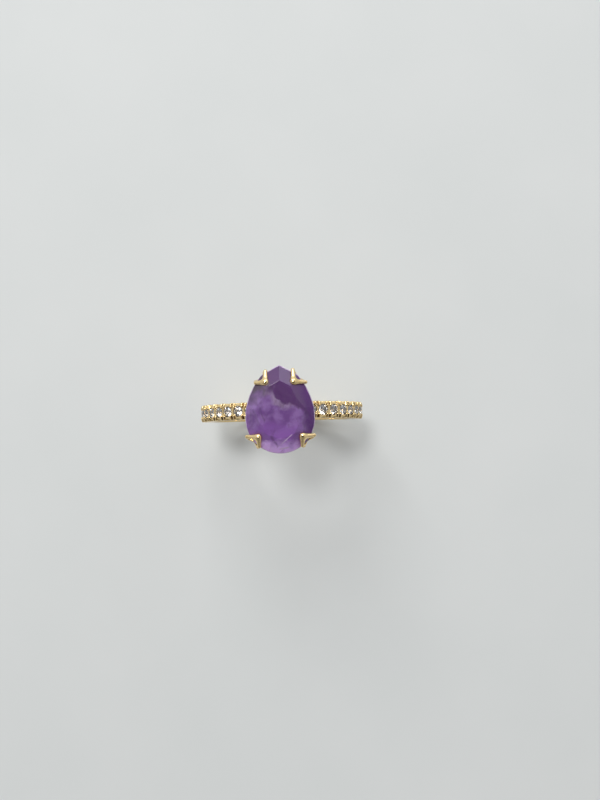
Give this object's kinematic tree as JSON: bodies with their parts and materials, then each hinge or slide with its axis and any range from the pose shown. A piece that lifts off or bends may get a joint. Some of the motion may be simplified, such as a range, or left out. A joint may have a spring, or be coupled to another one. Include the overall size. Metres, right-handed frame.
{
  "type": "cocktail ring",
  "caption": "Finger ring with a claw-set pear-cut violet stone on a gold band set with small clear stones.",
  "frame": {"origin": "centre of the finger hole, midway across the band", "axes": "+Z from the finger to the centre stone, +Y along the finger towards the stone's point, +X towards the right shoulder"},
  "size_m": [0.0202, 0.0102, 0.0235],
  "materials": {
    "gold": "polished",
    "centre_stone": "polished",
    "pave_stone": "polished"
  },
  "bodies": {
    "root": {"shank": "gold", "gallery_base": "gold", "gallery_rail": "gold", "claw_tip_left": "gold", "claw_tip_right": "gold", "claw_round_left": "gold", "claw_round_right": "gold", "centre_stone": "centre_stone", "pave_stone_left_1": "pave_stone", "pave_stone_left_2": "pave_stone", "pave_stone_left_3": "pave_stone", "pave_stone_left_4": "pave_stone", "pave_stone_left_5": "pave_stone", "pave_stone_left_6": "pave_stone", "pave_stone_left_7": "pave_stone", "pave_stone_right_1": "pave_stone", "pave_stone_right_2": "pave_stone", "pave_stone_right_3": "pave_stone", "pave_stone_right_4": "pave_stone", "pave_stone_right_5": "pave_stone", "pave_stone_right_6": "pave_stone", "pave_stone_right_7": "pave_stone"}
  },
  "joints": []
}
